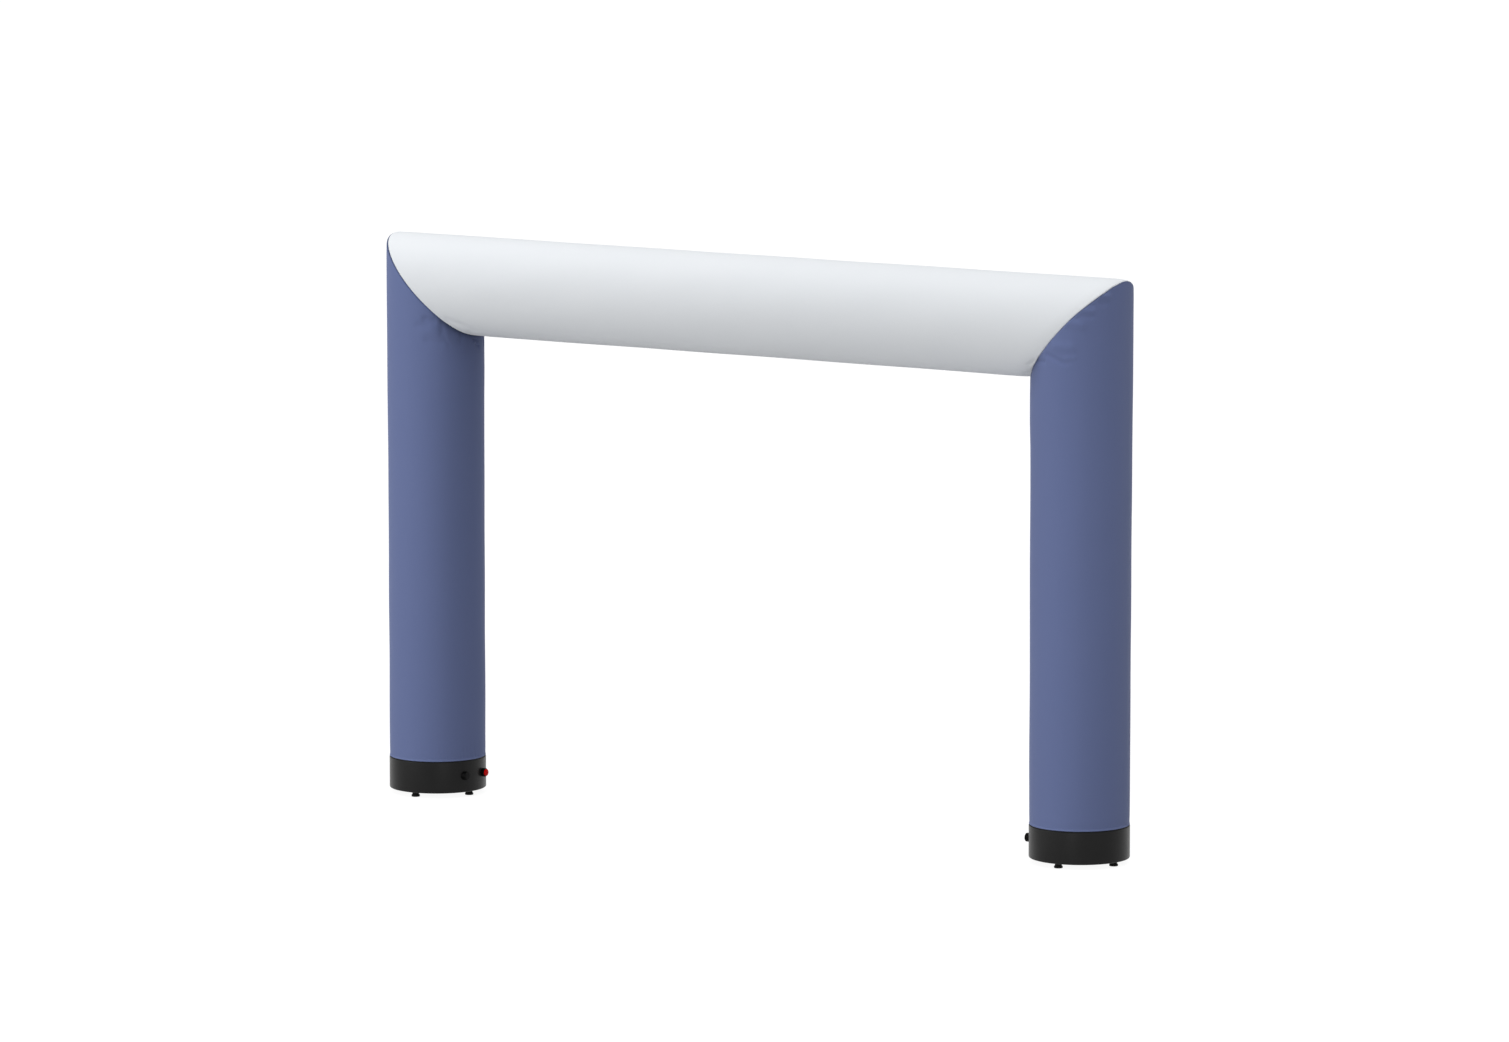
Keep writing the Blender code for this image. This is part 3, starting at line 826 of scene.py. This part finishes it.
def moulded_material(name, look):
    """Moulded plastic or rubber: fine grain, uneven gloss and a trace of dust."""
    nodes = Nodes(name)
    place = nodes.object_place()
    dust = nodes.noise(place, DUST)
    dusty = nodes.blend(look.color, look.dusty_color, dust)
    gloss = nodes.ramp(dust, look.roughness - ROUGHNESS_SPREAD, look.roughness + ROUGHNESS_SPREAD)
    pits = nodes.noise(place, Noise(look.grain, GRAIN_DETAIL, GRAIN_ROUGHNESS))
    grain = nodes.bump(pits, Bump(GRAIN_STRENGTH, look.grain_depth))
    nodes.set_shader(Base_Color=dusty, Roughness=gloss, Normal=grain,
                     Specular_IOR_Level=look.specular)
    return nodes.material


def thread_material(name, color):
    """Twisted polyester thread."""
    nodes = Nodes(name)
    twist = nodes.noise(nodes.object_place(), THREAD_TWIST)
    shaded = nodes.blend([THREAD_SHADE * part for part in color], color, twist)
    nodes.set_shader(Base_Color=shaded, Roughness=THREAD_ROUGHNESS, Sheen_Weight=THREAD_SHEEN)
    return nodes.material


def make_materials():
    """The arch's finishes, by name."""
    finishes = {
        "blue_cloth": cloth_material("blue_cloth", BLUE, BLUE_WORN, BLUE_SHEEN),
        "white_cloth": cloth_material("white_cloth", WHITE, WHITE_WORN, WHITE_SHEEN),
        "blue_thread": thread_material("blue_thread", BLUE),
        "white_thread": thread_material("white_thread", WHITE),
    }
    for name, look in MOULDINGS.items():
        finishes[name] = moulded_material(name, look)
    return finishes


# ---------------------------------------------------------------- pieces

def stand_in(piece, node):
    """The piece rides on the arch and stands for a node of the frame."""
    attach(piece, "root")
    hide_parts(node)
    return piece


def at_distances(distances, travelled, values):
    """Rows of values at some distances along a line, from the rows at its own points."""
    return np.stack([np.interp(distances, travelled, values[:, axis]) for axis in range(3)],
                    axis=1)


def stitch_faces(count):
    """Faces of a row of stitches: each stitch is closed, with a loop of points at each station."""
    last = len(STITCH_STATIONS) - 1
    per_stitch = STITCH_SIDES * len(STITCH_STATIONS)
    faces = [list(range(STITCH_SIDES))[::-1], list(range(last * STITCH_SIDES, per_stitch))]
    for ring in range(last):
        low, high = ring * STITCH_SIDES, (ring + 1) * STITCH_SIDES
        for side in range(STITCH_SIDES):
            after = (side + 1) % STITCH_SIDES
            faces.append([low + side, low + after, high + after, high + side])
    return [[corner + per_stitch * number for corner in face]
            for number in range(count) for face in faces]


def stitch_row(name, points, outward, finish, location, closed):
    """One row of stitches along a line of points, each a small lozenge of thread."""
    steps = np.linalg.norm(np.diff(points, axis=0), axis=1)
    travelled = np.concatenate([[0], np.cumsum(steps)])
    count = int(travelled[-1] / STITCH_PITCH)
    pitch = travelled[-1] / count
    middles = pitch * (np.arange(count) + (0 if closed else 0.5))
    start, end = (at_distances(np.clip(middles + reach, 0, travelled[-1]), travelled, points)
                  for reach in (-STITCH_LENGTH / 2, STITCH_LENGTH / 2))
    along = end - start
    up = at_distances(middles, travelled, outward)
    up /= np.linalg.norm(up, axis=1, keepdims=True)
    across = np.cross(along, up)
    across /= np.linalg.norm(across, axis=1, keepdims=True)

    loops = []
    for station in STITCH_STATIONS:
        middle = start + along * station.part + up * (STITCH_RADIUS * station.lift)
        for side in range(STITCH_SIDES):
            turn = 2 * math.pi * side / STITCH_SIDES
            loops.append(middle + (across * math.cos(turn) + up * math.sin(turn))
                         * STITCH_RADIUS * station.size)
    mesh = bpy.data.meshes.new(name)
    mesh.from_pydata(np.stack(loops, axis=1).reshape(-1, 3).tolist(), [], stitch_faces(count))
    face_outwards(mesh)
    row = new_object(name, mesh, finish, location)
    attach(row, "root")


def make_leg(side_name, side, finishes):
    """Leg tube with its seam, hem and closing stitches."""
    cloth = LegCloth(side)
    place = (side * LEG_X, 0, 0)
    points = tube_points(leg_rings(cloth), LEG_AXIS, cloth, DRUM_RADIUS)
    height = points[:, :, LEG_AXIS]
    # Shade painted on the leg under the beam and in its seam crease.
    painted_shade = painted_shade_amount(tube_angles(), height.max(axis=0) - height, side)
    mesh = tube_mesh("cloth_leg_" + side_name, points, LEG_AXIS, DRUM_RADIUS, painted_shade)
    leg = new_object("cloth_leg_" + side_name, mesh, finishes["blue_cloth"], place)
    stand_in(leg, "leg_" + side_name)

    angles = np.linspace(-180, 180, TUBE_STEPS + 1)
    rows = (
        ("stitches_leg_top_", cloth.corner_ring(angles, SEAM_STITCH_DISTANCE), True),
        ("stitches_hem_", cloth.hem_ring(angles, 0.0, HEM_GROOVE_RADIUS), True),
        ("stitches_closing_", points[:, CLOSING_STITCH_COLUMN], False),
    )
    for name, line, closed in rows:
        stitch_row(name + side_name, line, line * OFF_LEG, finishes["blue_thread"], place,
                   closed)


def make_beam(finishes):
    """Beam tube with its seam and closing stitches."""
    cloth = BeamCloth()
    place = (0, 0, BEAM_AXIS_HEIGHT)
    points = tube_points(beam_rings(cloth), BEAM_AXIS, cloth, BEAM_RADIUS)
    mesh = tube_mesh("cloth_beam", points, BEAM_AXIS, BEAM_RADIUS)
    beam = new_object("cloth_beam", mesh, finishes["white_cloth"], place)
    stand_in(beam, "beam")

    angles = np.linspace(-180, 180, TUBE_STEPS + 1)
    rows = (
        ("stitches_beam_left", cloth.corner_ring(angles, SEAM_STITCH_DISTANCE, -1), True),
        ("stitches_beam_right", cloth.corner_ring(angles, SEAM_STITCH_DISTANCE, 1), True),
        ("stitches_closing_beam", points[:, CLOSING_STITCH_COLUMN], False),
    )
    for name, line, closed in rows:
        stitch_row(name, line, line * OFF_BEAM, finishes["white_thread"], place,
                   closed)


def make_drum(side_name, side, finish):
    """Round base housing with a collar on top, and a rounded upper and lower edge."""
    shoulder = DRUM_TOP - DRUM_COLLAR_HEIGHT
    collar = [(0, DRUM_TOP), (DRUM_COLLAR_RADIUS, DRUM_TOP), (DRUM_COLLAR_RADIUS, shoulder)]
    top = arc((DRUM_RADIUS - DRUM_TOP_EDGE, shoulder - DRUM_TOP_EDGE), DRUM_TOP_EDGE, 90, 0)
    low = arc((DRUM_RADIUS - DRUM_BOTTOM_EDGE, DRUM_BOTTOM + DRUM_BOTTOM_EDGE),
              DRUM_BOTTOM_EDGE, 0, -90)
    profile = collar + top + low + [(0, DRUM_BOTTOM)]
    housing = turned("base_drum_" + side_name, profile, DRUM_SEGMENTS, finish)
    housing.location = (side * LEG_X, 0, 0)
    stand_in(housing, "drum_" + side_name)


def make_feet(side_name, finish):
    """Rubber feet: a narrow neck that flares to a round pad."""
    for number in range(1, FOOT_COUNT + 1):
        node = f"foot_{side_name}_{number}"
        low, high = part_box(node)
        profile = [
            (0, high.z),
            (FOOT_NECK_RADIUS, high.z),
            (FOOT_NECK_RADIUS, FOOT_PAD_HEIGHT + FOOT_FLARE_HEIGHT),
            (FOOT_PAD_RADIUS, FOOT_PAD_HEIGHT),
            (FOOT_PAD_RADIUS, FOOT_PAD_EDGE),
            (FOOT_PAD_RADIUS - FOOT_PAD_EDGE, 0),
            (0, 0),
        ]
        pad = turned(f"rubber_foot_{side_name}_{number}", profile, FOOT_SEGMENTS, finish)
        pad.location = ((low.x + high.x) / 2, (low.y + high.y) / 2, 0)
        stand_in(pad, node)


def place_port(piece, side, across, along=0.0):
    """Stand a turned piece beside a drum, with its axis pointing into the archway."""
    inward = Vector((-side, 0, 0))
    piece.location = inward * along + Vector((side * LEG_X, across, PORT_HEIGHT))
    piece.rotation_euler = inward.to_track_quat("Z", "Y").to_euler()


def make_port(name, side, across, face, finish):
    """Round stub with a rounded rim, from its root inside the drum out to its face."""
    rim = arc((PORT_RADIUS - PORT_EDGE, face - PORT_EDGE), PORT_EDGE, 90, 0)
    profile = [(0, face)] + rim + [(PORT_RADIUS, PORT_ROOT), (0, PORT_ROOT)]
    stub = turned(name, profile, PORT_SEGMENTS, finish)
    place_port(stub, side, across)
    return stub


def make_ports(finishes):
    """The ports of both drums, and the left drum's red cap."""
    plastic = finishes["port_plastic"]
    for side_name, side in (("left", -1), ("right", 1)):
        stub = make_port("round_port_" + side_name, side, PORT_ACROSS, PORT_FACE, plastic)
        stand_in(stub, "port_" + side_name)
    collar = make_port("port_collar_left", -1, COLLAR_ACROSS, COLLAR_FACE, plastic)
    stand_in(collar, "cap_collar_left")
    rise = CAP_REACH - CAP_SKIRT
    turns = [math.radians(90 * step / (2 * ARC_STEPS)) for step in range(2 * ARC_STEPS + 1)]
    dome = [(CAP_RADIUS * math.sin(turn), CAP_SKIRT + rise * math.cos(turn)) for turn in turns]
    cap = turned("port_cap_red", dome + [(CAP_RADIUS, GAP), (0, GAP)], PORT_SEGMENTS,
                 finishes["red_plastic"])
    place_port(cap, -1, COLLAR_ACROSS, COLLAR_FACE)
    stand_in(cap, "cap_red_left")


# ---------------------------------------------------------------- stage

def set_stage(name, mesh, color, glow):
    """Stage object that glows evenly: the camera and reflections see it, but it lights nothing."""
    nodes = Nodes("pale_" + name)
    nodes.set_shader(Base_Color=(*color, 1), Roughness=STAGE_ROUGHNESS, Specular_IOR_Level=0.0,
                     Emission_Color=(1, 1, 1, 1), Emission_Strength=glow)
    mesh.materials.append(nodes.material)
    item = bpy.data.objects.new(name, mesh)
    bpy.context.scene.collection.objects.link(item)
    item.visible_diffuse = False
    item.visible_shadow = False


def make_floor():
    """Plain pale floor."""
    mesh = bpy.data.meshes.new("floor")
    half = FLOOR_SIZE / 2
    corners = [(-half, -half, 0), (half, -half, 0), (half, half, 0), (-half, half, 0)]
    mesh.from_pydata(corners, [], [(0, 1, 2, 3)])
    set_stage("floor", mesh, FLOOR_COLOR, FLOOR_GLOW)


def make_backdrop():
    """Plain pale dome."""
    shape = bmesh.new()
    bmesh.ops.create_uvsphere(shape, u_segments=BACKDROP_SEGMENTS,
                              v_segments=BACKDROP_SEGMENTS // 2, radius=BACKDROP_RADIUS)
    mesh = bpy.data.meshes.new("backdrop")
    shape.to_mesh(mesh)
    shape.free()
    set_stage("backdrop", mesh, BACKDROP_COLOR, BACKDROP_GLOW)


# Brightness of the surroundings, from straight below (0) to straight above (1).
WORLD_STOPS = (
    (0.0, 0.555),
    (0.25, 0.15),
    (0.75, 0.15),
    (1.0, 1.92),
)
WORLD_STRENGTH = 1.0


def make_world():
    """Soft studio surroundings: bright above, fainter below and dim at the sides."""
    world = bpy.data.worlds.new("studio")
    bpy.context.scene.world = world
    world.use_nodes = True
    tree = world.node_tree
    back = tree.nodes["Background"]
    place = tree.nodes.new("ShaderNodeTexCoord")
    split = tree.nodes.new("ShaderNodeSeparateXYZ")
    rescale = tree.nodes.new("ShaderNodeMapRange")
    rescale.inputs["From Min"].default_value = -1
    ramp = tree.nodes.new("ShaderNodeValToRGB")
    elements = ramp.color_ramp.elements
    while len(elements) < len(WORLD_STOPS):
        elements.new(0.5)
    for element, (position, level) in zip(elements, WORLD_STOPS):
        element.position = position
        element.color = (level, level, level, 1)
    tree.links.new(place.outputs["Generated"], split.inputs["Vector"])
    tree.links.new(split.outputs["Z"], rescale.inputs["Value"])
    tree.links.new(rescale.outputs["Result"], ramp.inputs["Fac"])
    tree.links.new(ramp.outputs["Color"], back.inputs["Color"])
    back.inputs["Strength"].default_value = WORLD_STRENGTH


Lamp = namedtuple("Lamp", "name azimuth elevation distance size power")
LAMPS = (
    Lamp("key", -45, 10, 16.0, 6.0, 692),
    Lamp("front", -20, 10, 16.0, 6.0, 365),
    Lamp("low", 33, -10, 8.0, 2.0, 48),
    Lamp("edge", 60, 10, 8.0, 4.0, 50),
)


def direction(azimuth, elevation):
    """Unit vector towards a place in the sky; azimuth 0 is the front (-Y), 90 the right (+X)."""
    turn, lift = math.radians(azimuth), math.radians(elevation)
    return Vector((math.sin(turn) * math.cos(lift), -math.cos(turn) * math.cos(lift),
                   math.sin(lift)))


def make_lamps():
    """Large soft lamps."""
    target = Vector(CAMERA_TARGET)
    for lamp in LAMPS:
        data = bpy.data.lights.new(lamp.name, "AREA")
        data.shape = "SQUARE"
        data.size = lamp.size
        data.energy = lamp.power
        towards = direction(lamp.azimuth, lamp.elevation)
        item = bpy.data.objects.new(lamp.name, data)
        item.location = target + towards * lamp.distance
        item.rotation_euler = towards.to_track_quat("Z", "Y").to_euler()
        item.visible_camera = False
        bpy.context.scene.collection.objects.link(item)


def make_camera():
    """Long lens from the front right, a little above level."""
    data = bpy.data.cameras.new("camera")
    data.sensor_width = CAMERA_SENSOR
    data.sensor_fit = "HORIZONTAL"
    data.lens = CAMERA_LENS
    data.clip_start, data.clip_end = CAMERA_CLIP
    camera = bpy.data.objects.new("camera", data)
    towards = direction(CAMERA_AZIMUTH, CAMERA_ELEVATION)
    camera.location = Vector(CAMERA_TARGET) + towards * CAMERA_DISTANCE
    camera.rotation_euler = (-towards).to_track_quat("-Z", "Y").to_euler()
    bpy.context.scene.collection.objects.link(camera)
    bpy.context.scene.camera = camera


def main():
    """Build the arch, its stage, the light and the camera."""
    bpy.context.scene.view_settings.view_transform = "Standard"
    finishes = make_materials()
    for side_name, side in (("left", -1), ("right", 1)):
        make_leg(side_name, side, finishes)
        make_drum(side_name, side, finishes["black_plastic"])
        make_feet(side_name, finishes["black_rubber"])
    make_beam(finishes)
    make_ports(finishes)
    make_floor()
    make_backdrop()
    make_world()
    make_lamps()
    make_camera()


main()
